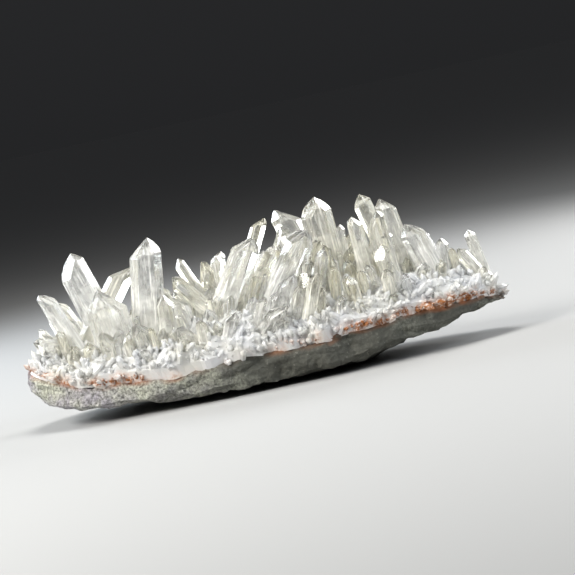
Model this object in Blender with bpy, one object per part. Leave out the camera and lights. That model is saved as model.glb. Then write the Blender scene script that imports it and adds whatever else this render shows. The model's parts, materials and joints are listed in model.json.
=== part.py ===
"""A cluster of clear quartz crystals on its plate of rock, at real size and at rest.

The plate lies along X, its front edge faces -Y and +Z is up. Two pieces are built: the rock plate that
the crystals grew on, and the quartz, whose crystals are grown together into one solid with their bed.
Run it with blender --background --python part.py, or from Blender's text editor.
"""

import math
import random

import bmesh
import bpy
from mathutils import Matrix, Vector, noise

# Driving dimensions, in millimetres unless a name says otherwise
MM = 0.001
GAP = 0.3
SPOKES = 50
LEAST_CLEARANCE = 0.9
RIM_SHARE = 0.975
FOOT_LIFT = 3.4
ROOT_HEIGHT = 20.0
BED_STEEPNESS = 8
CRUST_START = -88.0
CRUST_SHARE = 0.6
FOOT_SIZE = (36.0, 19.0)
FOOT_CENTRE = (2.0, 0.0)
RHOMB_TILT = math.radians(51.8)
CORNER = 1 / math.cos(math.radians(30))
TAPER = math.radians(0.9)
VIEW_RISE = math.tan(math.radians(4.0))
VIEW_DISTANCE = 1150.0
VIEW_MIDDLE = (13.4, 36.6)

# The plate's outline seen from above: (x, y), from the left end along the front and back along the rear
OUTLINE = (
    (-103, -4), (-97, -22), (-82, -34), (-52, -41), (-14, -44), (22, -43), (54, -39), (80, -29),
    (96, -17), (103, -2), (94, 15), (74, 28), (44, 37), (8, 42), (-30, 42), (-64, 37), (-88, 25), (-99, 12),
)

# Heights along the plate, as (x, z): the rock's underside, the line where quartz meets rock, the quartz
# bed's thickness at its crown, and the highest crystal tips
UNDERSIDE = (
    (-102, 14), (-97, 9), (-89, 5), (-78, 3.6), (-62, 2.6), (-46, 1.8), (-30, 0.4), (-6, 0), (20, 0), (40, 1.2),
    (56, 4.8), (72, 7.4), (86, 10.6), (102, 12.2),
)
CONTACT = (
    (-102, 25.5), (-96, 24), (-88, 20.6), (-80, 17.6), (-64, 15.8), (-44, 14), (-26, 14.2), (-8, 16.2),
    (10, 15.4), (24, 15.8), (36, 17.4), (60, 18), (78, 18.8), (92, 18.0), (103, 15.6),
)
BED_RISE = ((-102, 7), (-92, 9), (-80, 12), (-50, 12), (-20, 12.5), (20, 12), (60, 12), (80, 11), (92, 8), (102, 5))
SKYLINE = (
    (-102, 26), (-96, 36), (-88, 46), (-72, 60), (-58, 50), (-48, 55), (-36, 60), (-28, 53), (-14, 54), (4, 58),
    (14, 65), (32, 67), (42, 56), (52, 64), (60, 61), (68, 51), (80, 42), (88, 37), (96, 25), (102, 20),
)

# The lean of the small crystals along the plate, in degrees from upright and positive to the right
LEAN = ((-102, -60), (-88, -26), (-66, -10), (-46, 6), (-30, -22), (-12, 10), (6, 28), (24, 14), (44, -4), (96, -16))

# The named crystals: name, tip as the camera sees it (x, z), depth behind the plate's middle (y), lean to
# the right and nod towards the viewer in degrees, width across corners, the tip's offset across the crystal
# as a share of half its width, and turn about its own axis in degrees
LARGE = (
    ("left_low", -95.5, 36, -14, -68, 6, 8.4, 0.1, 6),
    ("left_slim", -89.4, 54.8, -20, -18, 8, 7.2, -0.5, -6),
    ("left_tall", -72.9, 69.3, -8, -16, 2, 12.4, 0.35, 8),
    ("left_broad", -64.8, 51.4, -29, -5, 10, 16.6, -0.1, 3),
    ("left_back", -49.2, 58.2, -4, 38, -4, 9.4, 0.45, -8),
    ("left_column", -40.5, 68.6, -17, 9, 1, 13.0, 0.1, 2),
    ("column_foot", -38.5, 44.0, -30, 4, 8, 8.4, -0.2, 12),
    ("saddle_small", -29.1, 57.8, 6, -23, -6, 4.9, 0.3, 10),
    ("saddle_long", -33.0, 50.5, -14, -38, 6, 6.4, 0.2, -4),
    ("saddle_flat", -20.0, 54.3, 3, -30, 0, 8.2, 0.5, 14),
    ("saddle_tan", -13.7, 55.6, -4, -2, 2, 6.2, -0.3, 5),
    ("saddle_arch", -11.0, 57.0, 8, 20, -8, 6.0, 0.2, -12),
    ("saddle_needle", -4.4, 56.8, 13, 10, -6, 3.2, 0.0, 0),
    ("fan_first", 3.1, 59.8, -20, 31, 5, 11.2, 0.2, 4),
    ("fan_thin", 9.7, 66.7, 3, 28, -3, 6.2, 0.45, -10),
    ("fan_back", 14.5, 69.2, 4, -18, -4, 11.4, -0.4, 8),
    ("fan_mid", 15.7, 62.4, -8, -13, 2, 9.2, 0.4, -3),
    ("fan_second", 13.6, 54.4, -17, 37, 8, 8.4, 0.0, 9),
    ("fan_third", 25.6, 58.4, -24, 35, 9, 11.0, 0.0, 0),
    ("centre_tall", 31.5, 70.9, -5, -3, 1, 13.2, 0.05, 6),
    ("centre_stub", 22.5, 41.0, -31, 12, 34, 10.0, 0.1, 18),
    ("notch_olive", 40.2, 57.7, 2, 7, -2, 4.6, 0.1, 0),
    ("notch_short", 42.9, 53.2, 7, 3, -5, 3.8, 0.0, 9),
    ("right_pale", 45.7, 59.8, -21, -3, 7, 6.4, -0.2, 3),
    ("right_crown", 51.1, 68.4, 4, -15, -4, 8.0, 0.2, -6),
    ("right_orange", 56.4, 60.0, -15, -4, 4, 8.4, 0.35, 5),
    ("right_tall", 58.8, 64.6, -1, -8, 0, 8.8, -0.25, 12),
    ("right_slope", 66.9, 52.0, -12, -17, 3, 10.4, -0.2, -5),
    ("right_step", 73.0, 48.0, -3, -16, -2, 6.4, 0.2, 7),
    ("end_round", 80.8, 43.4, -7, 3, 0, 5.4, 0.0, 4),
    ("end_sliver", 84.0, 38.6, -10, -5, 4, 3.2, 0.0, -9),
    ("end_low", 86.6, 37.4, -6, -30, 6, 5.8, 0.0, 10),
    ("end_lone", 92.3, 44.2, 3, -10, -2, 4.8, -0.1, 3),
    ("end_spike", 97.4, 26.0, -2, 6, 4, 3.4, 0.0, 0),
)

# Seeded crystals that fill the bed, in bands from front to back: nearest and furthest depth, how many
# crystals, how close their roots may come, the range of width across corners, and how much of the room
# under the skyline the shortest and the longest of them fill. They nod outwards from the plate's middle,
# with a scatter in lean and nod in degrees
FILL_SEED = 41
FILL_SCATTER = (10, 9)
FILL_NOD_PER_MM = -0.6
FILL_SHARE = 0.9
FILL_LEAST_RISE = 5.0
FILL_BANDS = (
    (-41, -27, 32, 4.6, (3.8, 8.8), (0.1, 0.46)),
    (-27, -6, 17, 6.0, (4.2, 8.4), (0.35, 0.8)),
    (-6, 14, 13, 6.5, (4.4, 8.0), (0.5, 0.95)),
    (14, 38, 19, 7.0, (4.8, 9.8), (0.3, 0.95)),
)

# Seeded short points round the bed's steep edge: how many, their width across corners, their rise as
# shares of it, where they start, how far out they lean at the very edge and how much they scatter in
# degrees, and the reach along X that their tips keep to
POINT_SEED = 7
POINT_COUNT = 42
POINT_WIDTH = (3.2, 6.0)
POINT_RISE = (0.7, 1.6)
POINT_START = 0.7
POINT_SCATTER = 14
POINT_SPLAY = 58
POINT_ENDS = (-93.0, 99.0)


def along(table, x):
    """The height that a table of (x, z) gives at x, on straight lines between its points."""
    for (x0, z0), (x1, z1) in zip(table, table[1:]):
        if x <= x1:
            return z0 + (z1 - z0) * max(0.0, (x - x0) / (x1 - x0))
    return table[-1][1]


def outline_reach(angle):
    """How far the plate's broken edge reaches from its middle in one direction."""
    way = Vector((math.cos(angle), math.sin(angle)))
    broken = rough((way.x, way.y, 0.0), 0.16, 2.6, 2)
    for start, end in zip(OUTLINE, OUTLINE[1:] + OUTLINE[:1]):
        start = Vector(start)
        side = Vector(end) - start
        turn = way.cross(side)
        if abs(turn) < 1e-9:
            continue
        share = start.cross(way) / turn
        reach = start.cross(side) / turn
        if 0 <= share <= 1 and reach > 0:
            return reach + broken
    raise ValueError("the outline has to close round the middle")


def edge_share(x, y):
    """0 at the plate's middle and 1 on its outline."""
    return math.hypot(x, y) / outline_reach(math.atan2(y, x))


def bed_top(x, y):
    """Height of the quartz bed over the plate: nearly level, with a steep fall all round its edge."""
    return along(CONTACT, x) + 2.5 + along(BED_RISE, x) * (1 - min(1.0, edge_share(x, y)) ** BED_STEEPNESS)


def rough(place, size, strength, seed):
    """A smooth random number for a place, the same each time."""
    return strength * noise.noise(Vector(place) / size + Vector((seed, -seed, 2.0 * seed)))


def principled(name, color, roughness, transmission=0.0, ior=1.5):
    material = bpy.data.materials.new(name)
    material.use_nodes = True
    shader = material.node_tree.nodes["Principled BSDF"]
    shader.inputs["Base Color"].default_value = (*color, 1.0)
    shader.inputs["Roughness"].default_value = roughness
    shader.inputs["Metallic"].default_value = 0.0
    shader.inputs["Transmission Weight"].default_value = transmission
    shader.inputs["IOR"].default_value = ior
    material.diffuse_color = (*color, 1.0)
    return material


def mesh_object(name, bm, collection):
    """Turns a bmesh in millimetres into an object in metres."""
    bmesh.ops.scale(bm, vec=(MM, MM, MM), verts=bm.verts)
    mesh = bpy.data.meshes.new(name)
    bm.to_mesh(mesh)
    bm.free()
    obj = bpy.data.objects.new(name, mesh)
    collection.objects.link(obj)
    return obj


def ring_solid(rings):
    """A closed solid through rings of points, lowest first, closed by a face below and a peak above."""
    bm = bmesh.new()
    spoke = bm.verts.layers.int.new("spoke")
    first = bmesh.ops.create_circle(bm, segments=SPOKES, radius=1.0)["verts"]
    for number, vert in enumerate(first):
        vert[spoke] = number
        vert.co = rings[0][number]
    edges = bm.edges[:]
    bmesh.ops.holes_fill(bm, edges=edges)
    for ring in rings[1:]:
        grown = bmesh.ops.extrude_edge_only(bm, edges=edges)["geom"]
        edges = [item for item in grown if isinstance(item, bmesh.types.BMEdge)]
        for vert in (item for item in grown if isinstance(item, bmesh.types.BMVert)):
            vert.co = ring[vert[spoke]]
    lid = bmesh.ops.holes_fill(bm, edges=edges)["faces"]
    peak = bmesh.ops.poke(bm, faces=lid)["verts"][0]
    bmesh.ops.recalc_face_normals(bm, faces=bm.faces)
    if bm.calc_volume(signed=True) < 0:
        bmesh.ops.reverse_faces(bm, faces=bm.faces)
    return bm, peak


def spoke_angles():
    """Directions of the spokes, turned so that they meet the long outline at even distances."""
    fine = [2 * math.pi * number / 720 for number in range(721)]
    places = [Vector((math.cos(angle), math.sin(angle))) * outline_reach(angle) for angle in fine]
    walked = [0.0]
    for start, end in zip(places, places[1:]):
        walked.append(walked[-1] + (end - start).length)
    angles = []
    for number in range(SPOKES):
        goal = walked[-1] * number / SPOKES
        step = max(index for index, distance in enumerate(walked) if distance <= goal)
        angles.append(fine[step])
    return angles


def ring(share, height):
    """One ring of points: share of the outline's reach, and a height for each (x, y)."""
    points = []
    for angle in SPOKE_ANGLES:
        reach = outline_reach(angle) * share
        x = reach * math.cos(angle)
        y = reach * math.sin(angle)
        points.append(Vector((x, y, height(x, y))))
    return points


def roughened(points, size, outward, upward, seed):
    """Moves points in and out and up and down by smooth random amounts, and keeps them over the floor."""
    moved = []
    for point in points:
        way = point.xy.normalized().to_3d() * rough(point, size, outward, seed)
        place = point + way
        place.z = max(LEAST_CLEARANCE, point.z + rough(point, size, upward, seed + 5))
        moved.append(place)
    return moved


def build_rock_plate(collection):
    """The rock plate: a rough slab, thick at its left end and thin at its right, with one flat spot below."""
    foot = []
    for angle in SPOKE_ANGLES:
        swell = 1 + rough((math.cos(angle), math.sin(angle), 0.0), 0.9, 0.3, 3)
        x = FOOT_CENTRE[0] + FOOT_SIZE[0] * swell * math.cos(angle)
        y = FOOT_CENTRE[1] + FOOT_SIZE[1] * swell * math.sin(angle)
        foot.append(Vector((x, y, 0.0)))

    def under(lift):
        return lambda x, y: along(UNDERSIDE, x) + lift

    def side(share):
        return lambda x, y: along(UNDERSIDE, x) * (1 - share) + along(CONTACT, x) * share

    rings = [
        foot,
        roughened(ring(0.66, under(2.4)), 14, 5.0, 1.6, 11),
        roughened(ring(0.84, under(3.2)), 9, 4.0, 2.2, 12),
        roughened(ring(0.95, side(0.22)), 6, 4.0, 2.0, 13),
        roughened(ring(1.0, side(0.4)), 5, 4.0, 2.4, 14),
        roughened(ring(0.995, side(0.6)), 5, 4.0, 1.6, 15),
        roughened(ring(0.99, side(0.8)), 5, 3.0, 0.6, 16),
        contact_ring(-GAP / 2),
    ]
    bm, peak = ring_solid(rings)
    peak.co = contact_peak(-GAP / 2)
    bmesh.ops.triangulate(bm, faces=bm.faces)
    plate = mesh_object("rock_plate", bm, collection)
    plate.data.materials.append(principled("greenish_grey_rock", (0.23, 0.23, 0.2), 0.85))
    return plate


def rim_height(x, y):
    return along(CONTACT, x) + rough((x, y, 0.0), 9, 1.6, 21)


def contact_ring(lift):
    """The rim where quartz and rock meet, shared by both pieces with the gap between them."""
    return [point + Vector((0.0, 0.0, lift)) for point in ring(RIM_SHARE, rim_height)]


def contact_peak(lift):
    return Vector((0.0, 0.0, along(CONTACT, 0.0) + lift))


def contact_height(x, y):
    """Height of the hidden contact face, which runs straight from the rim to its peak over the middle."""
    reach = outline_reach(math.atan2(y, x)) * RIM_SHARE
    share = math.hypot(x, y) / reach
    rim = rim_height(x / share, y / share) if share > 1e-6 else 0.0
    return along(CONTACT, 0.0) * (1 - share) + rim * share


def stopped_short(points):
    """Draws the crust in at the left, where it stops short of the plate's end."""
    for point in points:
        past = CRUST_START - point.x
        if past > 0:
            point.x = CRUST_START - past * CRUST_SHARE
    return points


def build_bed():
    """The milky bed that all the crystals grow from, as a lumpy crust over the whole plate."""
    rings = [
        contact_ring(GAP / 2),
        stopped_short(roughened(ring(0.985, lambda x, y: along(CONTACT, x) + 3.4), 5, 2.4, 1.8, 31)),
        stopped_short(roughened(ring(0.955, bed_top), 6, 3.0, 3.0, 32)),
        stopped_short(roughened(ring(0.9, bed_top), 7, 4.0, 4.0, 33)),
        roughened(ring(0.8, bed_top), 8, 4.0, 4.6, 34),
        roughened(ring(0.6, bed_top), 9, 4.0, 4.6, 35),
        roughened(ring(0.32, bed_top), 9, 4.0, 4.0, 36),
    ]
    bm, peak = ring_solid(rings)
    peak.co = Vector((0.0, 0.0, bed_top(0.0, 0.0)))
    floor = max(bm.faces, key=lambda face: len(face.verts))
    bmesh.ops.poke(bm, faces=[floor])["verts"][0].co = contact_peak(GAP / 2)
    bmesh.ops.triangulate(bm, faces=bm.faces)
    return bm


def crystal(tip, axis, width, offset, turn, caps, foot):
    """One quartz crystal: a six-sided prism whose six slanting faces meet near the tip.

    It starts as a block and each of its faces is one cut, so no two crystals have the same faces.
    caps says how far each slanting face is drawn back from the tip, and foot is where the prism is cut level.
    """
    apothem = width / 2 / CORNER
    length = (tip.z - foot) / axis.z + width
    bm = bmesh.new()
    bmesh.ops.create_cube(bm, size=1.0)
    bmesh.ops.scale(bm, vec=(3 * width, 3 * width, length + width), verts=bm.verts)
    bmesh.ops.translate(bm, vec=(0, 0, (width - length) / 2), verts=bm.verts)
    centre = Vector((-offset * width / 2, 0.0, 0.0))
    for side in range(6):
        angle = turn + math.radians(60 * side - 90)
        out = Vector((math.cos(angle), math.sin(angle), 0.0))
        wall = Vector((out.x, out.y, math.tan(TAPER))).normalized()
        cut(bm, centre + out * apothem, wall)
        slant = out * math.sin(RHOMB_TILT)
        slant.z = math.cos(RHOMB_TILT)
        cut(bm, Vector((0.0, 0.0, caps[side])), slant)
    front = Vector((0.0, -1.0, 0.0))
    front = (front - axis * front.dot(axis)).normalized()
    right = axis.cross(front)
    pose = Matrix((right, -front, axis)).transposed().to_4x4()
    bmesh.ops.transform(bm, matrix=Matrix.Translation(tip) @ pose, verts=bm.verts)
    cut(bm, Vector((0.0, 0.0, foot)), Vector((0.0, 0.0, -1.0)))
    bmesh.ops.recalc_face_normals(bm, faces=bm.faces)
    return bm


def cut(bm, place, outward):
    """Cuts away what lies past a plane, and closes the shape with one flat face."""
    everything = bm.verts[:] + bm.edges[:] + bm.faces[:]
    made = bmesh.ops.bisect_plane(
        bm, geom=everything, dist=1e-6, plane_co=place, plane_no=outward, clear_outer=True
    )["geom_cut"]
    edges = [item for item in made if isinstance(item, bmesh.types.BMEdge)]
    bmesh.ops.holes_fill(bm, edges=edges)


def pointing(lean, nod):
    """The direction of a crystal that leans to the right and nods towards the viewer, in degrees."""
    lean = math.radians(lean)
    nod = math.radians(nod)
    return Vector((math.sin(lean) * math.cos(nod), -math.sin(nod), math.cos(lean) * math.cos(nod)))


def cap_offsets(rng, width):
    """Three slanting faces stay large and the three between them small, as on real quartz."""
    return [width * (rng.uniform(0.0, 0.1) if side % 2 else rng.uniform(0.06, 0.34)) for side in range(6)]


def seen_place(x, z, depth):
    """The place in space of what the camera sees at x and z, at a depth behind the plate's middle."""
    closer = 1 + depth / VIEW_DISTANCE
    middle_x, middle_z = VIEW_MIDDLE
    return Vector(
        (middle_x + (x - middle_x) * closer, depth, middle_z + (z - middle_z) * closer - depth * VIEW_RISE)
    )


def foot_height(tip, axis):
    """Where a crystal is cut level inside the bed: just over the rock, below its root."""
    root = tip - axis * ((tip.z - ROOT_HEIGHT) / axis.z)
    return contact_height(root.x, root.y) + FOOT_LIFT


def large_crystals(collection):
    rng = random.Random(FILL_SEED)
    made = []
    for name, x, z, depth, lean, nod, width, offset, turn in LARGE:
        tip = seen_place(x, z, depth)
        axis = pointing(lean, nod)
        bm = crystal(
            tip, axis, width, offset, math.radians(turn), cap_offsets(rng, width), foot_height(tip, axis)
        )
        made.append(mesh_object(name, bm, collection))
    return made


def random_place(rng, front, back, share):
    while True:
        x = rng.uniform(-102, 102)
        y = rng.uniform(front, back)
        if edge_share(x, y) < share:
            return x, y


def fill_crystals(collection):
    """Middling crystals all over the bed: low at the front, and just under the skyline at the back."""
    rng = random.Random(FILL_SEED)
    made = []
    taken = []
    for front, back, count, spacing, widths, shares in FILL_BANDS:
        wanted = len(made) + count
        while len(made) < wanted:
            x, y = random_place(rng, front, back, FILL_SHARE)
            if any(math.hypot(x - other_x, y - other_y) < spacing for other_x, other_y in taken):
                continue
            width = rng.uniform(*widths)
            lean = along(LEAN, x) + rng.gauss(0, FILL_SCATTER[0])
            nod = FILL_NOD_PER_MM * y + rng.gauss(0, FILL_SCATTER[1])
            axis = pointing(lean, nod)
            low = bed_top(x, y)
            room = along(SKYLINE, x) - 3 - low
            rise = max(FILL_LEAST_RISE, room * rng.uniform(*shares))
            tip = Vector((x, y, low)) + axis * (rise / axis.z)
            if edge_share(tip.x, tip.y) > 1.0:
                continue
            taken.append((x, y))
            turn = math.radians(rng.uniform(-30, 30))
            offset = rng.uniform(-0.4, 0.4)
            foot = contact_height(x, y) + FOOT_LIFT
            bm = crystal(tip, axis, width, offset, turn, cap_offsets(rng, width), foot)
            made.append(mesh_object(f"fill_{len(made):02d}", bm, collection))
    return made


def small_points(collection):
    """Short crystals that stand square to the bed's steep edge all round it."""
    rng = random.Random(POINT_SEED)
    made = []
    while len(made) < POINT_COUNT:
        x, y = random_place(rng, -46, 46, 0.97)
        share = edge_share(x, y)
        if share < POINT_START:
            continue
        width = rng.uniform(*POINT_WIDTH)
        out = POINT_SPLAY * share ** 4
        lean = out * x / math.hypot(x, y) + rng.gauss(0, POINT_SCATTER)
        nod = -out * y / math.hypot(x, y) + rng.gauss(0, POINT_SCATTER)
        axis = pointing(lean, nod)
        rise = width * rng.uniform(*POINT_RISE)
        tip = Vector((x, y, bed_top(x, y))) + axis * rise
        if edge_share(tip.x, tip.y) > 1.0 or not POINT_ENDS[0] < tip.x < POINT_ENDS[1]:
            continue
        turn = math.radians(rng.uniform(-30, 30))
        foot = contact_height(x, y) + FOOT_LIFT
        bm = crystal(tip, axis, width, 0.0, turn, cap_offsets(rng, width), foot)
        made.append(mesh_object(f"point_{len(made):02d}", bm, collection))
    return made


def outer_skin_only(obj):
    """Keeps the mesh's one outer skin, and drops the small pockets shut in between crossing crystals."""
    bm = bmesh.new()
    bm.from_mesh(obj.data)
    bm.faces.ensure_lookup_table()
    left = set(bm.faces)
    skins = []
    while left:
        reached = {left.pop()}
        edge_of_reach = list(reached)
        while edge_of_reach:
            face = edge_of_reach.pop()
            near = {other for edge in face.edges for other in edge.link_faces} & left
            left -= near
            reached |= near
            edge_of_reach.extend(near)
        skins.append(reached)
    outer = max(skins, key=len)
    dropped = [face for face in bm.faces if face not in outer]
    bmesh.ops.delete(bm, geom=dropped, context="FACES")
    bm.to_mesh(obj.data)
    bm.free()
    return len(skins) - 1


def build_quartz(collection):
    """Bed and crystals, joined by one Boolean union into a single solid."""
    workshop = bpy.data.collections.new("growing_crystals")
    collection.children.link(workshop)
    large_crystals(workshop)
    fill_crystals(workshop)
    small_points(workshop)
    quartz = mesh_object("quartz_crystals", build_bed(), collection)
    union = quartz.modifiers.new("grown_together", "BOOLEAN")
    union.operation = "UNION"
    union.operand_type = "COLLECTION"
    union.collection = workshop
    union.solver = "EXACT"
    bpy.context.view_layer.update()
    graph = bpy.context.evaluated_depsgraph_get()
    joined = bpy.data.meshes.new_from_object(quartz.evaluated_get(graph))
    quartz.modifiers.clear()
    quartz.data = joined
    for grown in list(workshop.objects):
        bpy.data.objects.remove(grown)
    bpy.data.collections.remove(workshop)
    pockets = outer_skin_only(quartz)
    quartz.data.materials.clear()
    quartz.data.materials.append(principled("pale_clear_quartz", (0.93, 0.93, 0.87), 0.04, 0.6, 1.544))
    print(f"quartz: {len(quartz.data.polygons)} faces, {pockets} shut pockets dropped")
    return quartz


def stand_on_origin(pieces):
    """Moves the pieces' meshes so that the middle of the box's underside is the origin."""
    corners = [vert.co for piece in pieces for vert in piece.data.vertices]
    low = Vector([min(corner[axis] for corner in corners) for axis in range(3)])
    high = Vector([max(corner[axis] for corner in corners) for axis in range(3)])
    shift = Vector((-(low.x + high.x) / 2, -(low.y + high.y) / 2, -low.z))
    for piece in pieces:
        piece.data.transform(Matrix.Translation(shift))
    size = (high - low) / MM
    print(f"box {size.x:.1f} x {size.y:.1f} x {size.z:.1f} mm, moved by {[round(v / MM, 2) for v in shift]}")


SPOKE_ANGLES = spoke_angles()


def main():
    for obj in list(bpy.data.objects):
        bpy.data.objects.remove(obj)
    collection = bpy.context.scene.collection
    pieces = [build_rock_plate(collection), build_quartz(collection)]
    stand_on_origin(pieces)


main()
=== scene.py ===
# %% [markdown]
# A cluster of clear quartz crystals on its plate of rock. The solid model already holds the true shape and
# size, and it comes in here as a fixed frame. This lesson dresses it: the crystals get bright edges and a
# milky root, the bed gets its sugary crust, and the rock gets its broken surface. The dressed model has to
# stay inside it.

# %% Load the frame
import json
import math
import random

import bmesh
import bpy
from mathutils import Matrix, Vector, noise

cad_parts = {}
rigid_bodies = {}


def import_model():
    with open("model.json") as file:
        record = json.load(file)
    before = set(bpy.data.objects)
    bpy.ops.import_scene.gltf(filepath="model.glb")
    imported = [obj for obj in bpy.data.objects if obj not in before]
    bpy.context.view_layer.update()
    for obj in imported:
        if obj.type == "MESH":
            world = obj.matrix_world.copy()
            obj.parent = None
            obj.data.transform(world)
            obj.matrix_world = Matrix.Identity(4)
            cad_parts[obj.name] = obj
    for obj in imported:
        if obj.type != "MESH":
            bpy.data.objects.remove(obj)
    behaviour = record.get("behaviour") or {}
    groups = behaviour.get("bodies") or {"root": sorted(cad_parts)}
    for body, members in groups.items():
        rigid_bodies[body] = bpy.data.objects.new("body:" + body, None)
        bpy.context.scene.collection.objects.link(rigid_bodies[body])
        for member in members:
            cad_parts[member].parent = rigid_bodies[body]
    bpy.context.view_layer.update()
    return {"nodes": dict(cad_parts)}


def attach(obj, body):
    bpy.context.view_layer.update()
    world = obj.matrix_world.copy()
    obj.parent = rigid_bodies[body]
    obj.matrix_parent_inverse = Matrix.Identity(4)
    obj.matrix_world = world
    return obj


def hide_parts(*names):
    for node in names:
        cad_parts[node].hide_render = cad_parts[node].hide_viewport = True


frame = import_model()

# %% [markdown]
# The crystals are laid out from the same few measures as the solid model, in millimetres, so that each one
# comes out in the same place. PLATE_MIDDLE is where the plate's own middle lies in the frame.

# %% Measures
MM = 0.001
PLATE_MIDDLE = Vector((-0.49, 0.96, 0.0))
SPOKES = 200
RIM_SHARE = 0.975
FOOT_LIFT = 3.4
ROOT_HEIGHT = 20.0
BED_STEEPNESS = 8
CRUST_START = -88.0
CRUST_SHARE = 0.6
LEAST_CLEARANCE = 0.9
RHOMB_TILT = math.radians(51.8)
CORNER = 1 / math.cos(math.radians(30))
TAPER = math.radians(0.9)
VIEW_RISE = math.tan(math.radians(4.0))
VIEW_DISTANCE = 1150.0
VIEW_MIDDLE = (13.4, 36.6)
EDGE_BEVEL = 0.11

# The plate's outline seen from above: (x, y), from the left end along the front and back along the rear
OUTLINE = (
    (-103, -4), (-97, -22), (-82, -34), (-52, -41), (-14, -44), (22, -43), (54, -39), (80, -29),
    (96, -17), (103, -2), (94, 15), (74, 28), (44, 37), (8, 42), (-30, 42), (-64, 37), (-88, 25), (-99, 12),
)

# Heights along the plate, as (x, z): the rock's underside, the line where quartz meets rock, the quartz
# bed's thickness at its crown, and the highest crystal tips
UNDERSIDE = (
    (-102, 14), (-97, 9), (-89, 5), (-78, 3.6), (-62, 2.6), (-46, 1.8), (-30, 0.4), (-6, 0), (20, 0), (40, 1.2),
    (56, 4.8), (72, 7.4), (86, 10.6), (102, 12.2),
)
CONTACT = (
    (-102, 25.5), (-96, 24), (-88, 20.6), (-80, 17.6), (-64, 15.8), (-44, 14), (-26, 14.2), (-8, 16.2),
    (10, 15.4), (24, 15.8), (36, 17.4), (60, 18), (78, 18.8), (92, 18.0), (103, 15.6),
)
BED_RISE = ((-102, 7), (-92, 9), (-80, 12), (-50, 12), (-20, 12.5), (20, 12), (60, 12), (80, 11), (92, 8), (102, 5))
SKYLINE = (
    (-102, 26), (-96, 36), (-88, 46), (-72, 60), (-58, 50), (-48, 55), (-36, 60), (-28, 53), (-14, 54), (4, 58),
    (14, 65), (32, 67), (42, 56), (52, 64), (60, 61), (68, 51), (80, 42), (88, 37), (96, 25), (102, 20),
)

# The lean of the small crystals along the plate, in degrees from upright and positive to the right
LEAN = ((-102, -60), (-88, -26), (-66, -10), (-46, 6), (-30, -22), (-12, 10), (6, 28), (24, 14), (44, -4), (96, -16))

# The named crystals: name, tip as the camera sees it (x, z), depth behind the plate's middle (y), lean to
# the right and nod towards the viewer in degrees, width across corners, the tip's offset across the crystal
# as a share of half its width, and turn about its own axis in degrees
LARGE = (
    ("left_low", -95.5, 36, -14, -68, 6, 8.4, 0.1, 6),
    ("left_slim", -89.4, 54.8, -20, -18, 8, 7.2, -0.5, -6),
    ("left_tall", -72.9, 69.3, -8, -16, 2, 12.4, 0.35, 8),
    ("left_broad", -64.8, 51.4, -29, -5, 10, 16.6, -0.1, 3),
    ("left_back", -49.2, 58.2, -4, 38, -4, 9.4, 0.45, -8),
    ("left_column", -40.5, 68.6, -17, 9, 1, 13.0, 0.1, 2),
    ("column_foot", -38.5, 44.0, -30, 4, 8, 8.4, -0.2, 12),
    ("saddle_small", -29.1, 57.8, 6, -23, -6, 4.9, 0.3, 10),
    ("saddle_long", -33.0, 50.5, -14, -38, 6, 6.4, 0.2, -4),
    ("saddle_flat", -20.0, 54.3, 3, -30, 0, 8.2, 0.5, 14),
    ("saddle_tan", -13.7, 55.6, -4, -2, 2, 6.2, -0.3, 5),
    ("saddle_arch", -11.0, 57.0, 8, 20, -8, 6.0, 0.2, -12),
    ("saddle_needle", -4.4, 56.8, 13, 10, -6, 3.2, 0.0, 0),
    ("fan_first", 3.1, 59.8, -20, 31, 5, 11.2, 0.2, 4),
    ("fan_thin", 9.7, 66.7, 3, 28, -3, 6.2, 0.45, -10),
    ("fan_back", 14.5, 69.2, 4, -18, -4, 11.4, -0.4, 8),
    ("fan_mid", 15.7, 62.4, -8, -13, 2, 9.2, 0.4, -3),
    ("fan_second", 13.6, 54.4, -17, 37, 8, 8.4, 0.0, 9),
    ("fan_third", 25.6, 58.4, -24, 35, 9, 11.0, 0.0, 0),
    ("centre_tall", 31.5, 70.9, -5, -3, 1, 13.2, 0.05, 6),
    ("centre_stub", 22.5, 41.0, -31, 12, 34, 10.0, 0.1, 18),
    ("notch_olive", 40.2, 57.7, 2, 7, -2, 4.6, 0.1, 0),
    ("notch_short", 42.9, 53.2, 7, 3, -5, 3.8, 0.0, 9),
    ("right_pale", 45.7, 59.8, -21, -3, 7, 6.4, -0.2, 3),
    ("right_crown", 51.1, 68.4, 4, -15, -4, 8.0, 0.2, -6),
    ("right_orange", 56.4, 60.0, -15, -4, 4, 8.4, 0.35, 5),
    ("right_tall", 58.8, 64.6, -1, -8, 0, 8.8, -0.25, 12),
    ("right_slope", 66.9, 52.0, -12, -17, 3, 10.4, -0.2, -5),
    ("right_step", 73.0, 48.0, -3, -16, -2, 6.4, 0.2, 7),
    ("end_round", 80.8, 43.4, -7, 3, 0, 5.4, 0.0, 4),
    ("end_sliver", 84.0, 38.6, -10, -5, 4, 3.2, 0.0, -9),
    ("end_low", 86.6, 37.4, -6, -30, 6, 5.8, 0.0, 10),
    ("end_lone", 92.3, 44.2, 3, -10, -2, 4.8, -0.1, 3),
    ("end_spike", 97.4, 26.0, -2, 6, 4, 3.4, 0.0, 0),
)

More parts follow.
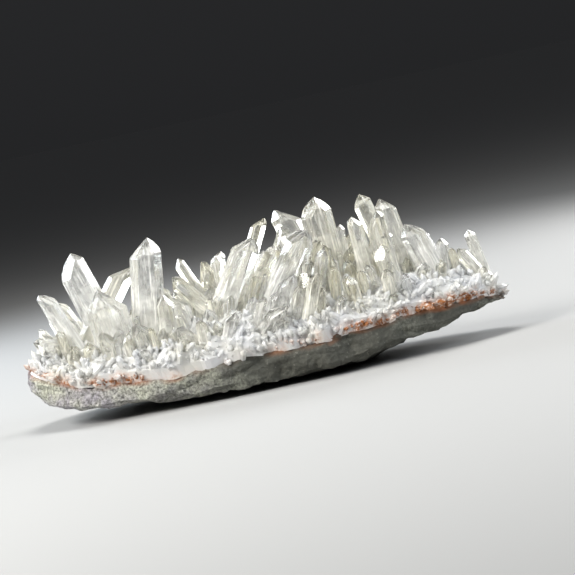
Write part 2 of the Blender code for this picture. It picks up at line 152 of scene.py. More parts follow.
# Seeded crystals that fill the bed, in bands from front to back: nearest and furthest depth, how many
# crystals, how close their roots may come, the range of width across corners, and how much of the room
# under the skyline the shortest and the longest of them fill. They nod outwards from the plate's middle,
# with a scatter in lean and nod in degrees
FILL_SEED = 41
FILL_SCATTER = (10, 9)
FILL_NOD_PER_MM = -0.6
FILL_SHARE = 0.9
FILL_LEAST_RISE = 5.0
FILL_BANDS = (
    (-41, -27, 32, 4.6, (3.8, 8.8), (0.1, 0.46)),
    (-27, -6, 17, 6.0, (4.2, 8.4), (0.35, 0.8)),
    (-6, 14, 13, 6.5, (4.4, 8.0), (0.5, 0.95)),
    (14, 38, 19, 7.0, (4.8, 9.8), (0.3, 0.95)),
)

# Seeded short points round the bed's steep edge: how many, their width across corners, their rise as
# shares of it, where they start, how far out they lean at the very edge and how much they scatter in
# degrees, and the reach along X that their tips keep to
POINT_SEED = 7
POINT_COUNT = 42
POINT_WIDTH = (3.2, 6.0)
POINT_RISE = (0.7, 1.6)
POINT_START = 0.7
POINT_SCATTER = 14
POINT_SPLAY = 58
POINT_ENDS = (-93.0, 99.0)

# Slim crystals packed in front of and between the named ones: how many, width, and scatter in degrees
PACKED_SEED = 5
PACKED_COUNT = 120
PACKED_WIDTH = (2.4, 5.6)
PACKED_SCATTER = 8
print(len(LARGE), "named crystals,", sum(band[2] for band in FILL_BANDS), "fill crystals")

# %% [markdown]
# Everything irregular comes from smooth noise that gives the same value at the same place every time, so
# the bed and the plate's broken edge follow the solid model's, only with finer steps.

# %% Helpers for places and heights
def along(table, x):
    """The height that a table of (x, z) gives at x, on straight lines between its points."""
    for (x0, z0), (x1, z1) in zip(table, table[1:]):
        if x <= x1:
            return z0 + (z1 - z0) * max(0.0, (x - x0) / (x1 - x0))
    return table[-1][1]


def outline_reach(angle):
    """How far the plate's broken edge reaches from its middle in one direction."""
    way = Vector((math.cos(angle), math.sin(angle)))
    broken = rough((way.x, way.y, 0.0), 0.16, 2.6, 2)
    for start, end in zip(OUTLINE, OUTLINE[1:] + OUTLINE[:1]):
        start = Vector(start)
        side = Vector(end) - start
        turn = way.cross(side)
        if abs(turn) < 1e-9:
            continue
        share = start.cross(way) / turn
        reach = start.cross(side) / turn
        if 0 <= share <= 1 and reach > 0:
            return reach + broken
    raise ValueError("the outline has to close round the middle")


def edge_share(x, y):
    """0 at the plate's middle and 1 on its outline."""
    return math.hypot(x, y) / outline_reach(math.atan2(y, x))


def bed_top(x, y):
    """Height of the quartz bed over the plate: nearly level, with a steep fall all round its edge."""
    return along(CONTACT, x) + 2.5 + along(BED_RISE, x) * (1 - min(1.0, edge_share(x, y)) ** BED_STEEPNESS)


def rough(place, size, strength, seed):
    """A smooth random number for a place, the same each time."""
    return strength * noise.noise(Vector(place) / size + Vector((seed, -seed, 2.0 * seed)))

def spoke_angles():
    """Directions of the spokes, turned so that they meet the long outline at even distances."""
    fine = [2 * math.pi * number / 720 for number in range(721)]
    places = [Vector((math.cos(angle), math.sin(angle))) * outline_reach(angle) for angle in fine]
    walked = [0.0]
    for start, end in zip(places, places[1:]):
        walked.append(walked[-1] + (end - start).length)
    angles = []
    for number in range(SPOKES):
        goal = walked[-1] * number / SPOKES
        step = max(index for index, distance in enumerate(walked) if distance <= goal)
        angles.append(fine[step])
    return angles


def ring(share, height):
    """One ring of points: share of the outline's reach, and a height for each (x, y)."""
    points = []
    for angle in SPOKE_ANGLES:
        reach = outline_reach(angle) * share
        x = reach * math.cos(angle)
        y = reach * math.sin(angle)
        points.append(Vector((x, y, height(x, y))))
    return points


def roughened(points, size, outward, upward, seed):
    """Moves points in and out and up and down by smooth random amounts, and keeps them over the floor."""
    moved = []
    for point in points:
        way = point.xy.normalized().to_3d() * rough(point, size, outward, seed)
        place = point + way
        place.z = max(LEAST_CLEARANCE, point.z + rough(point, size, upward, seed + 5))
        moved.append(place)
    return moved

def rim_height(x, y):
    return along(CONTACT, x) + rough((x, y, 0.0), 9, 1.6, 21)


def contact_ring(lift):
    """The rim where quartz and rock meet, shared by both pieces with the gap between them."""
    return [point + Vector((0.0, 0.0, lift)) for point in ring(RIM_SHARE, rim_height)]

def contact_height(x, y):
    """Height of the hidden contact face, which runs straight from the rim to its peak over the middle."""
    reach = outline_reach(math.atan2(y, x)) * RIM_SHARE
    share = math.hypot(x, y) / reach
    rim = rim_height(x / share, y / share) if share > 1e-6 else 0.0
    return along(CONTACT, 0.0) * (1 - share) + rim * share


def stopped_short(points):
    """Draws the crust in at the left, where it stops short of the plate's end."""
    for point in points:
        past = CRUST_START - point.x
        if past > 0:
            point.x = CRUST_START - past * CRUST_SHARE
    return points

SPOKE_ANGLES = spoke_angles()
print(SPOKES, "spokes round the plate")


# %% [markdown]
# A quartz crystal is a six-sided prism closed by six slanting faces. It is cut here as a gem cutter would:
# from a block, one plane at a time. A real edge is never perfectly sharp and catches a thin line of light,
# so every edge gets a very small bevel. Two UV maps go with each crystal: growth measures millimetres round
# it and down from its tip, for streaks that follow the crystal, and nature holds a random number for the
# crystal and how far a point lies from root to tip.

# %% Cut one crystal
def cut(bm, place, outward):
    """Cuts away what lies past a plane, and closes the shape with one flat face."""
    everything = bm.verts[:] + bm.edges[:] + bm.faces[:]
    made = bmesh.ops.bisect_plane(
        bm, geom=everything, dist=1e-6, plane_co=place, plane_no=outward, clear_outer=True
    )["geom_cut"]
    edges = [item for item in made if isinstance(item, bmesh.types.BMEdge)]
    bmesh.ops.holes_fill(bm, edges=edges)


def pointing(lean, nod):
    """The direction of a crystal that leans to the right and nods towards the viewer, in degrees."""
    lean = math.radians(lean)
    nod = math.radians(nod)
    return Vector((math.sin(lean) * math.cos(nod), -math.sin(nod), math.cos(lean) * math.cos(nod)))


def cap_offsets(rng, width):
    """Three slanting faces stay large and the three between them small, as on real quartz."""
    return [width * (rng.uniform(0.0, 0.1) if side % 2 else rng.uniform(0.06, 0.34)) for side in range(6)]


def seen_place(x, z, depth):
    """The place in space of what the camera sees at x and z, at a depth behind the plate's middle."""
    closer = 1 + depth / VIEW_DISTANCE
    middle_x, middle_z = VIEW_MIDDLE
    return Vector(
        (middle_x + (x - middle_x) * closer, depth, middle_z + (z - middle_z) * closer - depth * VIEW_RISE)
    )


def foot_height(tip, axis):
    """Where a crystal is cut level inside the bed: just over the rock, below its root."""
    root = tip - axis * ((tip.z - ROOT_HEIGHT) / axis.z)
    return contact_height(root.x, root.y) + FOOT_LIFT


def crystal(tip, axis, width, offset, turn, caps, foot, chance):
    apothem = width / 2 / CORNER
    length = (tip.z - foot) / axis.z + width
    bm = bmesh.new()
    bmesh.ops.create_cube(bm, size=1.0)
    bmesh.ops.scale(bm, vec=(3 * width, 3 * width, length + width), verts=bm.verts)
    bmesh.ops.translate(bm, vec=(0, 0, (width - length) / 2), verts=bm.verts)
    centre = Vector((-offset * width / 2, 0.0, 0.0))
    for side in range(6):
        angle = turn + math.radians(60 * side - 90)
        out = Vector((math.cos(angle), math.sin(angle), 0.0))
        cut(bm, centre + out * apothem, Vector((out.x, out.y, math.tan(TAPER))).normalized())
        slant = out * math.sin(RHOMB_TILT)
        slant.z = math.cos(RHOMB_TILT)
        cut(bm, Vector((0.0, 0.0, caps[side])), slant)
    front = Vector((0.0, -1.0, 0.0))
    front = (front - axis * front.dot(axis)).normalized()
    pose = Matrix((axis.cross(front), -front, axis)).transposed().to_4x4()
    bmesh.ops.transform(bm, matrix=Matrix.Translation(tip) @ pose, verts=bm.verts)
    cut(bm, Vector((0.0, 0.0, foot)), Vector((0.0, 0.0, -1.0)))
    bmesh.ops.bevel(
        bm, geom=bm.edges[:], offset=EDGE_BEVEL, segments=1, profile=0.5, affect="EDGES", material=-1,
        clamp_overlap=True,
    )
    bmesh.ops.recalc_face_normals(bm, faces=bm.faces)
    growth = bm.loops.layers.uv.new("growth")
    nature = bm.loops.layers.uv.new("nature")
    for face in bm.faces:
        across = axis.cross(face.normal)
        across = across.normalized() if across.length > 1e-4 else front
        for loop in face.loops:
            down = (tip - loop.vert.co).dot(axis)
            loop[growth].uv = (loop.vert.co.dot(across) + 50 * chance, down)
            loop[nature].uv = (chance, 1 - down / length)
    return bm


def finished(name, bm):
    """Turns a bmesh in the plate's millimetres into an object in the frame's metres."""
    bmesh.ops.translate(bm, vec=PLATE_MIDDLE, verts=bm.verts)
    bmesh.ops.scale(bm, vec=(MM, MM, MM), verts=bm.verts)
    mesh = bpy.data.meshes.new(name)
    bm.to_mesh(mesh)
    bm.free()
    obj = bpy.data.objects.new(name, mesh)
    return obj


# %% [markdown]
# The crystals come in four sets: the ones that the photo shows clearly, the middling ones that fill the
# bed, the short points round its edge, and slim ones packed in between. They are grown together, so a
# Boolean union joins them into one clear solid, and no face of one is left inside another.

# %% Grow the crystals
workshop = bpy.data.collections.new("growing_crystals")
bpy.context.scene.collection.children.link(workshop)
CHANCE = random.Random(99)


def grow(name, *shape):
    workshop.objects.link(finished(name, crystal(*shape, CHANCE.random())))


def grow_large():
    rng = random.Random(FILL_SEED)
    for name, x, z, depth, lean, nod, width, offset, turn in LARGE:
        tip = seen_place(x, z, depth)
        axis = pointing(lean, nod)
        grow(name, tip, axis, width, offset, math.radians(turn), cap_offsets(rng, width), foot_height(tip, axis))


def random_place(rng, front, back, share):
    while True:
        x = rng.uniform(-102, 102)
        y = rng.uniform(front, back)
        if edge_share(x, y) < share:
            return x, y


def grow_fill():
    rng = random.Random(FILL_SEED)
    taken = []
    for front, back, count, spacing, widths, shares in FILL_BANDS:
        wanted = len(taken) + count
        while len(taken) < wanted:
            x, y = random_place(rng, front, back, FILL_SHARE)
            if any(math.hypot(x - other_x, y - other_y) < spacing for other_x, other_y in taken):
                continue
            width = rng.uniform(*widths)
            lean = along(LEAN, x) + rng.gauss(0, FILL_SCATTER[0])
            nod = FILL_NOD_PER_MM * y + rng.gauss(0, FILL_SCATTER[1])
            axis = pointing(lean, nod)
            low = bed_top(x, y)
            room = along(SKYLINE, x) - 3 - low
            rise = max(FILL_LEAST_RISE, room * rng.uniform(*shares))
            tip = Vector((x, y, low)) + axis * (rise / axis.z)
            if edge_share(tip.x, tip.y) > 1.0:
                continue
            taken.append((x, y))
            turn = math.radians(rng.uniform(-30, 30))
            offset = rng.uniform(-0.4, 0.4)
            foot = contact_height(x, y) + FOOT_LIFT
            grow(f"fill_{len(taken):02d}", tip, axis, width, offset, turn, cap_offsets(rng, width), foot)


def grow_points():
    rng = random.Random(POINT_SEED)
    made = 0
    while made < POINT_COUNT:
        x, y = random_place(rng, -46, 46, 0.97)
        share = edge_share(x, y)
        if share < POINT_START:
            continue
        width = rng.uniform(*POINT_WIDTH)
        out = POINT_SPLAY * share ** 4
        lean = out * x / math.hypot(x, y) + rng.gauss(0, POINT_SCATTER)
        nod = -out * y / math.hypot(x, y) + rng.gauss(0, POINT_SCATTER)
        axis = pointing(lean, nod)
        rise = width * rng.uniform(*POINT_RISE)
        tip = Vector((x, y, bed_top(x, y))) + axis * rise
        if edge_share(tip.x, tip.y) > 1.0 or not POINT_ENDS[0] < tip.x < POINT_ENDS[1]:
            continue
        made += 1
        turn = math.radians(rng.uniform(-30, 30))
        foot = contact_height(x, y) + FOOT_LIFT
        grow(f"point_{made:02d}", tip, axis, width, 0.0, turn, cap_offsets(rng, width), foot)


def grow_packed():
    """Slim crystals all over the bed, low at the rim and higher towards the middle, under the skyline."""
    rng = random.Random(PACKED_SEED)
    made = 0
    while made < PACKED_COUNT:
        x, y = random_place(rng, -40, 34, 0.86)
        inward = 1 - edge_share(x, y)
        width = rng.uniform(*PACKED_WIDTH)
        lean = along(LEAN, x) + rng.gauss(0, PACKED_SCATTER)
        axis = pointing(lean, -0.5 * y + rng.gauss(0, PACKED_SCATTER))
        low = bed_top(x, y)
        room = along(SKYLINE, x) - 8 - low
        rise = max(5.0, room * min(0.85, inward * 1.3 + rng.uniform(-0.05, 0.25)))
        tip = Vector((x, y, low)) + axis * (rise / axis.z)
        if edge_share(tip.x, tip.y) > 0.97:
            continue
        made += 1
        turn = math.radians(rng.uniform(-30, 30))
        foot = contact_height(x, y) + FOOT_LIFT
        grow(f"packed_{made:03d}", tip, axis, width, rng.uniform(-0.3, 0.3), turn, cap_offsets(rng, width), foot)


grow_large()
grow_fill()
grow_points()
grow_packed()


# %% Join the crystals
def joined_crystals(name):
    grown = list(workshop.objects)
    base = grown[0]
    workshop.objects.unlink(base)
    bpy.context.scene.collection.objects.link(base)
    union = base.modifiers.new("grown_together", "BOOLEAN")
    union.operation = "UNION"
    union.operand_type = "COLLECTION"
    union.collection = workshop
    union.solver = "EXACT"
    bpy.context.view_layer.update()
    graph = bpy.context.evaluated_depsgraph_get()
    mesh = bpy.data.meshes.new_from_object(base.evaluated_get(graph))
    for obj in grown:
        bpy.data.objects.remove(obj)
    bpy.data.collections.remove(workshop)
    obj = bpy.data.objects.new(name, mesh)
    bpy.context.scene.collection.objects.link(obj)
    obj.data.materials.clear()
    return obj


crystals = joined_crystals("clear_crystals")
print(crystals.name, len(crystals.data.polygons), "faces")

# %% [markdown]
# The bed is a milky crust. Its rings follow the same heights as the solid's, with many more spokes, so the
# lumps come out finer. Each point remembers how much iron rust it carries: rust sits in patches along the
# line where quartz meets rock, strongest where the photo shows it.

# %% Milky crust
RUST = (
    (-103, 0.2), (-92, 0.8), (-84, 0.9), (-76, 0.2), (-66, 1.0), (-56, 0.9), (-48, 0.3), (-36, 0.5), (-26, 0.1),
    (-2, 0.1), (6, 0.7), (14, 0.2), (26, 0.9), (36, 1.0), (48, 0.7), (56, 0.4), (66, 1.0), (82, 1.0), (94, 0.5), (103, 0.2),
)
CRUST_RINGS = 22
DRUSE_COUNT = 3000
DRUSE_WIDTH = (0.6, 2.9)


def rust_at(place):
    height = place.z - rim_height(place.x, place.y)
    patches = 0.5 + 0.9 * noise.noise(Vector(place) / 4)
    band = max(0.0, 1 - abs(height - 0.8) / 3.4)
    return max(0.0, min(1.0, along(RUST, place.x) * band * 2.4 * patches))


def stopped_short(points):
    for point in points:
        past = CRUST_START - point.x
        if past > 0:
            point.x = CRUST_START - past * CRUST_SHARE
    return points


def crust_mesh():
    bm = bmesh.new()
    spoke = bm.verts.layers.int.new("spoke")
    first = bmesh.ops.create_circle(bm, segments=SPOKES, radius=1.0)["verts"]
    rim = contact_ring(-0.9)
    for number, vert in enumerate(first):
        vert[spoke] = number
        vert.co = rim[number]
    edges = bm.edges[:]
    bmesh.ops.holes_fill(bm, edges=edges)
    rings = [stopped_short(roughened(ring(0.985, lambda x, y: along(CONTACT, x) + 3.4), 5, 2.4, 1.8, 31))]
    for number in range(CRUST_RINGS):
        share = 0.965 * (1 - (number / CRUST_RINGS) ** 1.4)
        rings.append(stopped_short(roughened(ring(max(0.03, share), bed_top), 6, 2.0, 3.4, 32)))
    for points in rings:
        grown = bmesh.ops.extrude_edge_only(bm, edges=edges)["geom"]
        edges = [item for item in grown if isinstance(item, bmesh.types.BMEdge)]
        for vert in (item for item in grown if isinstance(item, bmesh.types.BMVert)):
            vert.co = points[vert[spoke]]
    bmesh.ops.holes_fill(bm, edges=edges)
    bmesh.ops.recalc_face_normals(bm, faces=bm.faces)
    if bm.calc_volume(signed=True) < 0:
        bmesh.ops.reverse_faces(bm, faces=bm.faces)
    return bm


def small_crystal():
    """One short six-sided crystal with its foot at the origin, one unit wide, pointing up."""
    bm = bmesh.new()
    made = bmesh.ops.create_circle(bm, cap_ends=True, segments=6, radius=0.5)
    body = bmesh.ops.extrude_face_region(bm, geom=bm.faces[:])["geom"]
    top = [item for item in body if isinstance(item, bmesh.types.BMVert)]
    bmesh.ops.translate(bm, vec=(0, 0, 1.3), verts=top)
    lid = [item for item in body if isinstance(item, bmesh.types.BMFace)]
    peak = bmesh.ops.poke(bm, faces=lid)["verts"][0]
    peak.co.z += 0.55
    peak.co.x += 0.08
    bmesh.ops.recalc_face_normals(bm, faces=bm.faces)
    mesh = bpy.data.meshes.new("small_crystal")
    bm.to_mesh(mesh)
    bm.free()
    return mesh


def add_druse(bm):
    """Sugary points stand out of the crust all over, closest together on its steep rim."""
    rng = random.Random(11)
    stamp = small_crystal()
    upper = [face for face in bm.faces if len(face.verts) < 8 and face.calc_center_median().z > 16]
    weights = [face.calc_area() * (1.0 if edge_share(*face.calc_center_median().xy) < 0.8 else 2.6) for face in upper]
    places = []
    for face in rng.choices(upper, weights, k=DRUSE_COUNT):
        corners = [vert.co for vert in face.verts]
        mix = [rng.random() for _ in corners]
        place = sum((corner * share for corner, share in zip(corners, mix)), Vector()) / sum(mix)
        scatter = Vector((rng.gauss(0, 0.45), rng.gauss(0, 0.45), rng.gauss(0, 0.3)))
        way = (face.normal * 0.9 + Vector((0, 0, 0.45)) + scatter).normalized()
        width = DRUSE_WIDTH[0] + (DRUSE_WIDTH[1] - DRUSE_WIDTH[0]) * rng.random() ** 2
        places.append((place, way, width, rng.uniform(0.7, 1.5), rng.uniform(0, 60)))
    for place, way, width, slender, turn in places:
        before = len(bm.verts)
        bm.from_mesh(stamp)
        bm.verts.ensure_lookup_table()
        new = bm.verts[before:]
        pose = Matrix.Translation(place - way * width * 0.6) @ way.to_track_quat("Z", "Y").to_matrix().to_4x4()
        size = Matrix.Rotation(math.radians(turn), 4, "Z") @ Matrix.Diagonal((width, width, width * slender, 1))
        bmesh.ops.transform(bm, matrix=pose @ size, verts=new)
    bpy.data.meshes.remove(stamp)


crust_bm = crust_mesh()
add_druse(crust_bm)
rust = crust_bm.verts.layers.float.new("rust")
for vert in crust_bm.verts:
    vert[rust] = rust_at(vert.co)
crust = finished("milky_crust", crust_bm)
bpy.context.scene.collection.objects.link(crust)
print(crust.name, len(crust.data.polygons), "faces,", DRUSE_COUNT, "small crystals")

# %% [markdown]
# The plate of rock keeps the solid's own shape. A copy of its mesh is merged, divided finely and pushed in
# and out by noise at three scales: lumps, chips and grain. The rest spot stays flat on the floor.

# %% Broken rock
ROCK_CUTS = 3


def build_rock():
    bm = bmesh.new()
    bm.from_mesh(frame["nodes"]["rock_plate"].data)
    bmesh.ops.remove_doubles(bm, verts=bm.verts, dist=1e-6)
    bmesh.ops.scale(bm, vec=(1 / MM, 1 / MM, 1 / MM), verts=bm.verts)
    bmesh.ops.translate(bm, vec=-PLATE_MIDDLE, verts=bm.verts)
    bmesh.ops.subdivide_edges(bm, edges=bm.edges, cuts=ROCK_CUTS, use_grid_fill=True)
    bmesh.ops.triangulate(bm, faces=bm.faces)
    long_edges = [edge for edge in bm.edges if edge.calc_length() > 2.2]
    bmesh.ops.subdivide_edges(bm, edges=long_edges, cuts=1)
    bmesh.ops.triangulate(bm, faces=bm.faces)
    bmesh.ops.smooth_vert(bm, verts=bm.verts, factor=0.5, use_axis_x=True, use_axis_y=True, use_axis_z=True)
    bm.normal_update()
    rust = bm.verts.layers.float.new("rust")
    for vert in bm.verts:
        place = Vector(vert.co)
        push = rough(place, 7, 0.9, 51) + rough(place, 2.6, 0.55, 52) + rough(place, 1.1, 0.28, 53)
        chip = max(0.0, noise.noise(place / 4.5 + Vector((9, 9, 9))) - 0.25) * -2.6
        vert.co += vert.normal * (push + chip) * min(1.0, place.z / 1.5)
        vert.co.z = max(0.0, vert.co.z)
        vert[rust] = rust_at(place)
    return bm


rock = finished("broken_rock", build_rock())
bpy.context.scene.collection.objects.link(rock)
print(rock.name, len(rock.data.polygons), "faces")

# %% [markdown]
# Clear quartz is glass with an index of 1.544. Towards its root it fills with tiny veils and turns milky, so
# the share of light that passes falls from tip to root, broken up by streaks that follow the crystal. A thin
# bump across each face stands for the growth lines of real prism faces.

# %% Quartz material
def new_material(name):
    material = bpy.data.materials.new(name)
    material.use_nodes = True
    tree = material.node_tree
    return material, tree, tree.nodes["Principled BSDF"]


def node(tree, kind, **settings):
    made = tree.nodes.new(kind)
    for key, value in settings.items():
        if key in made.inputs:
            made.inputs[key].default_value = value
        else:
            setattr(made, key, value)
    return made


def noise_node(tree, vector, scale, detail=4.0, roughness=0.55):
    made = node(tree, "ShaderNodeTexNoise", Scale=scale, Detail=detail, Roughness=roughness)
    tree.links.new(vector, made.inputs["Vector"])
    return made.outputs["Fac"]


def mapped(tree, value, low, high, to_low, to_high):
    made = node(tree, "ShaderNodeMapRange")
    tree.links.new(value, made.inputs["Value"])
    for name, number in (("From Min", low), ("From Max", high), ("To Min", to_low), ("To Max", to_high)):
        made.inputs[name].default_value = number
    return made.outputs["Result"]


def math_node(tree, operation, first, second):
    made = node(tree, "ShaderNodeMath", operation=operation, use_clamp=operation != "MULTIPLY_ADD")
    for socket, value in zip(made.inputs, (first, second)):
        if isinstance(value, float):
            socket.default_value = value
        else:
            tree.links.new(value, socket)
    return made.outputs[0]


def mixed(tree, factor, first, second):
    made = node(tree, "ShaderNodeMix", data_type="RGBA")
    tree.links.new(factor, made.inputs["Factor"])
    for name, value in (("A", first), ("B", second)):
        socket = [item for item in made.inputs if item.name == name and item.type == "RGBA"][0]
        if isinstance(value, tuple):
            socket.default_value = (*value, 1.0)
        else:
            tree.links.new(value, socket)
    return [item for item in made.outputs if item.type == "RGBA"][0]


def stretched(tree, vector, scale):
    made = node(tree, "ShaderNodeMapping")
    made.inputs["Scale"].default_value = scale
    tree.links.new(vector, made.inputs["Vector"])
    return made.outputs["Vector"]


def bump(tree, height, strength, distance, shader):
    made = node(tree, "ShaderNodeBump", Strength=strength, Distance=distance)
    tree.links.new(height, made.inputs["Height"])
    tree.links.new(made.outputs["Normal"], shader.inputs["Normal"])


def quartz_material():
    material, tree, shader = new_material("clear_quartz")
    growth = node(tree, "ShaderNodeUVMap", uv_map="growth").outputs["UV"]
    nature = node(tree, "ShaderNodeUVMap", uv_map="nature").outputs["UV"]
    parts = node(tree, "ShaderNodeSeparateXYZ")
    tree.links.new(nature, parts.inputs["Vector"])
    place = node(tree, "ShaderNodeTexCoord").outputs["Object"]
    streaks = noise_node(tree, stretched(tree, growth, (0.9, 0.07, 1.0)), 1.0, 5.0, 0.6)
    clouds = noise_node(tree, place, 130.0, 3.0)
    rise = math_node(tree, "ADD", mapped(tree, clouds, 0.3, 0.7, -0.2, 0.2), parts.outputs["Y"])
    clear = mapped(tree, rise, 0.34, 0.84, 0.22, 0.97)
    veils = mapped(tree, streaks, 0.5, 0.66, 0.0, 0.6)
    passing = math_node(tree, "SUBTRACT", clear, veils)
    tree.links.new(passing, shader.inputs["Transmission Weight"])
    creamy = mixed(tree, parts.outputs["X"], (0.98, 0.98, 0.97), (0.98, 0.955, 0.83))
    tree.links.new(creamy, shader.inputs["Base Color"])
    tree.links.new(mapped(tree, passing, 0.3, 0.95, 0.2, 0.02), shader.inputs["Roughness"])
    shader.inputs["IOR"].default_value = 1.544
    lines = noise_node(tree, stretched(tree, growth, (0.12, 2.6, 1.0)), 1.0, 3.0)
    bump(tree, lines, 0.22, 0.0004, shader)
    return material


crystals.data.materials.append(quartz_material())
print("clear quartz made")

# %% [markdown]
# The crust is milky white with a cold, bluish cast in some cloudy patches and a creamy one in others. Light
# sinks a little way in, so about a third of it passes as through glass, and rust stains it along the rock.

# %% Crust material
def crust_material():
    material, tree, shader = new_material("milky_quartz")
    place = node(tree, "ShaderNodeTexCoord").outputs["Object"]
    rust = node(tree, "ShaderNodeAttribute", attribute_name="rust").outputs["Fac"]
    clouds = noise_node(tree, place, 90.0)
    white = mixed(tree, mapped(tree, clouds, 0.35, 0.65, 0.0, 1.0), (0.92, 0.93, 0.95), (0.94, 0.93, 0.87))
    specks = noise_node(tree, place, 700.0, 4.0, 0.7)
    stain = mixed(tree, specks, (0.50, 0.20, 0.06), (0.16, 0.05, 0.02))
    patch = math_node(tree, "MULTIPLY", rust, mapped(tree, specks, 0.32, 0.55, 0.2, 1.5))
    tree.links.new(mixed(tree, patch, white, stain), shader.inputs["Base Color"])
    tree.links.new(mapped(tree, patch, 0.0, 0.5, 0.34, 0.0), shader.inputs["Transmission Weight"])
    shader.inputs["Roughness"].default_value = 0.16
    shader.inputs["IOR"].default_value = 1.544
    bump(tree, noise_node(tree, place, 1500.0, 5.0), 0.5, 0.0004, shader)
    return material


crust.data.materials.append(crust_material())
print("milky quartz made")

# %% [markdown]
# The rock changes along the plate: greenish grey and speckled at its left end, violet grey beside that, and
# along the rest it is painted near-black grey-green, a painted shade for light that falls off towards the right.
# Fine dark and pale grains cover it all.

# %% Rock material
def rock_material():
    material, tree, shader = new_material("speckled_rock")
    place = node(tree, "ShaderNodeTexCoord").outputs["Object"]
    rust = node(tree, "ShaderNodeAttribute", attribute_name="rust").outputs["Fac"]
    axes = node(tree, "ShaderNodeSeparateXYZ")
    tree.links.new(place, axes.inputs["Vector"])
    broad = noise_node(tree, place, 60.0)
    grain = noise_node(tree, place, 900.0, 6.0, 0.75)
    # Painted shade: this share and the near-black colour below paint the rock darker towards the right, where light
    # falls off
    painted_shade_share = math_node(tree, "ADD", mapped(tree, broad, 0.3, 0.7, -0.3, 0.3), mapped(tree, axes.outputs["X"], -0.07, -0.01, 0.0, 1.0))
    painted_shade = mixed(tree, mapped(tree, broad, 0.4, 0.6, 0.0, 1.0), (0.05, 0.055, 0.045), (0.10, 0.10, 0.08))
    green = mixed(tree, mapped(tree, broad, 0.42, 0.6, 0.0, 1.0), (0.80, 0.81, 0.66), (0.60, 0.56, 0.62))
    tone_and_painted_shade = mixed(tree, painted_shade_share, green, painted_shade)
    speckled = mixed(tree, mapped(tree, grain, 0.36, 0.66, 0.0, 1.0), (0.06, 0.06, 0.05), tone_and_painted_shade)
    pale = mixed(tree, mapped(tree, grain, 0.62, 0.72, 0.0, 0.6), speckled, (0.5, 0.5, 0.44))
    stained = mixed(tree, math_node(tree, "MULTIPLY", rust, 0.9), pale, (0.30, 0.11, 0.04))
    tree.links.new(stained, shader.inputs["Base Color"])
    tree.links.new(mapped(tree, grain, 0.3, 0.7, 0.95, 0.6), shader.inputs["Roughness"])
    bump(tree, grain, 0.7, 0.0006, shader)
    return material


rock.data.materials.append(rock_material())
print("speckled rock made")

# %% [markdown]
# Each new piece rides on the model's one body, and takes the place of the plain solid that it was made from.

# %% Tie the pieces to the frame
for piece, plain, slot in ((crystals, "quartz_crystals", "quartz"), (crust, "quartz_crystals", "quartz"), (rock, "rock_plate", "rock")):
    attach(piece, "root")
    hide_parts(plain)
print("pieces tied to the frame")

# %% [markdown]
# A pale floor lies under the specimen. The lights are large and close, so they fall off behind it: clear
# crystal only looks clear where something darker shows through it.

# %% Floor, light and camera
FLOOR_SIZE = 80.0
ROOM_LEVEL = (0.018, 0.0184, 0.0195)
ROOM_RISE = 3.07
LIGHTS = (
    ("key_left", (-0.55, -0.45, 0.5), 0.36, 8.4, (1.0, 0.985, 0.95)),
    ("fill_right", (0.6, -0.35, 0.4), 0.36, 3.0, (0.93, 0.96, 1.0)),
    ("overhead", (0.0, 0.05, 0.75), 0.35, 4.0, (1.0, 1.0, 0.98)),
    ("rim_left", (-0.5, 0.45, 0.3), 0.3, 4.0, (0.85, 0.92, 1.0)),
    ("rim_right", (0.5, 0.5, 0.3), 0.3, 3.6, (1.0, 1.0, 1.0)),
)
CAMERA_DISTANCE = 1.15
CAMERA_LENS = 171.4
CAMERA_RISE = math.radians(4.0)
CAMERA_ROLL = math.radians(-12.0)
CAMERA_AIM = Vector((0.0134, 0.0, 0.0366)) + Vector((PLATE_MIDDLE.x * MM, 0.0, 0.0))


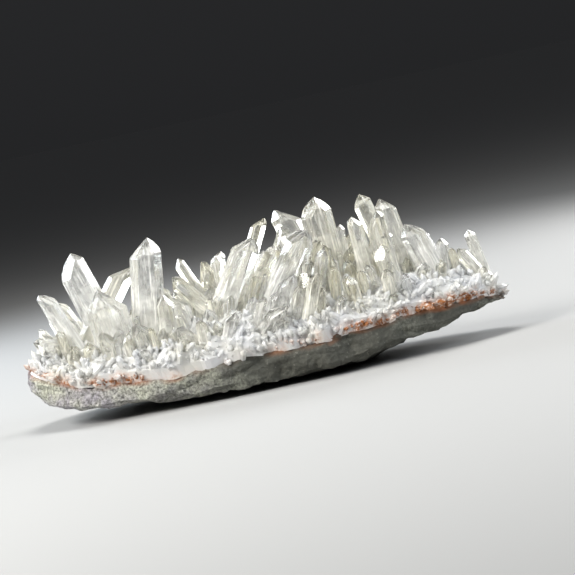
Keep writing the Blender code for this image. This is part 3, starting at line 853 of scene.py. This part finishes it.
def floor():
    bm = bmesh.new()
    bmesh.ops.create_grid(bm, x_segments=1, y_segments=1, size=FLOOR_SIZE / 2)
    mesh = bpy.data.meshes.new("pale_floor")
    bm.to_mesh(mesh)
    bm.free()
    obj = bpy.data.objects.new("pale_floor", mesh)
    bpy.context.scene.collection.objects.link(obj)
    material, tree, shader = new_material("pale_floor")
    shader.inputs["Base Color"].default_value = (0.42, 0.42, 0.415, 1.0)
    shader.inputs["Roughness"].default_value = 0.7
    shader.inputs["Specular IOR Level"].default_value = 0.1
    mesh.materials.append(material)


def lights():
    aim = Vector((0.0, 0.0, 0.03))
    for name, place, size, energy, color in LIGHTS:
        lamp = bpy.data.lights.new(name, "AREA")
        lamp.shape = "SQUARE"
        lamp.size = size
        lamp.energy = energy
        lamp.color = color
        obj = bpy.data.objects.new(name, lamp)
        obj.location = place
        obj.rotation_euler = (aim - Vector(place)).to_track_quat("-Z", "Y").to_euler()
        bpy.context.scene.collection.objects.link(obj)
    world = bpy.data.worlds.new("dim_room")
    world.use_nodes = True
    tree = world.node_tree
    place = node(tree, "ShaderNodeSeparateXYZ")
    tree.links.new(node(tree, "ShaderNodeTexCoord").outputs["Generated"], place.inputs["Vector"])
    height = mapped(tree, place.outputs["Z"], 0.0, 1.0, 0.0, 1.0)
    upper = tuple(level * ROOM_RISE for level in ROOM_LEVEL)
    tree.links.new(mixed(tree, height, ROOM_LEVEL, upper), tree.nodes["Background"].inputs["Color"])
    bpy.context.scene.world = world


def camera():
    data = bpy.data.cameras.new("camera")
    data.lens = CAMERA_LENS
    obj = bpy.data.objects.new("camera", data)
    bpy.context.scene.collection.objects.link(obj)
    back = Vector((0.0, -math.cos(CAMERA_RISE), math.sin(CAMERA_RISE)))
    turn = back.to_track_quat("Z", "Y").to_matrix().to_4x4() @ Matrix.Rotation(CAMERA_ROLL, 4, "Z")
    obj.matrix_world = Matrix.Translation(CAMERA_AIM + back * CAMERA_DISTANCE) @ turn
    bpy.context.scene.camera = obj


floor()
lights()
camera()
scene = bpy.context.scene
scene.view_settings.view_transform = "Standard"
scene.cycles.max_bounces = 20
scene.cycles.transmission_bounces = 18
scene.cycles.glossy_bounces = 8
scene.cycles.diffuse_bounces = 4
print("stage ready")

# %% [markdown]

# %% Finish
bpy.context.view_layer.update()
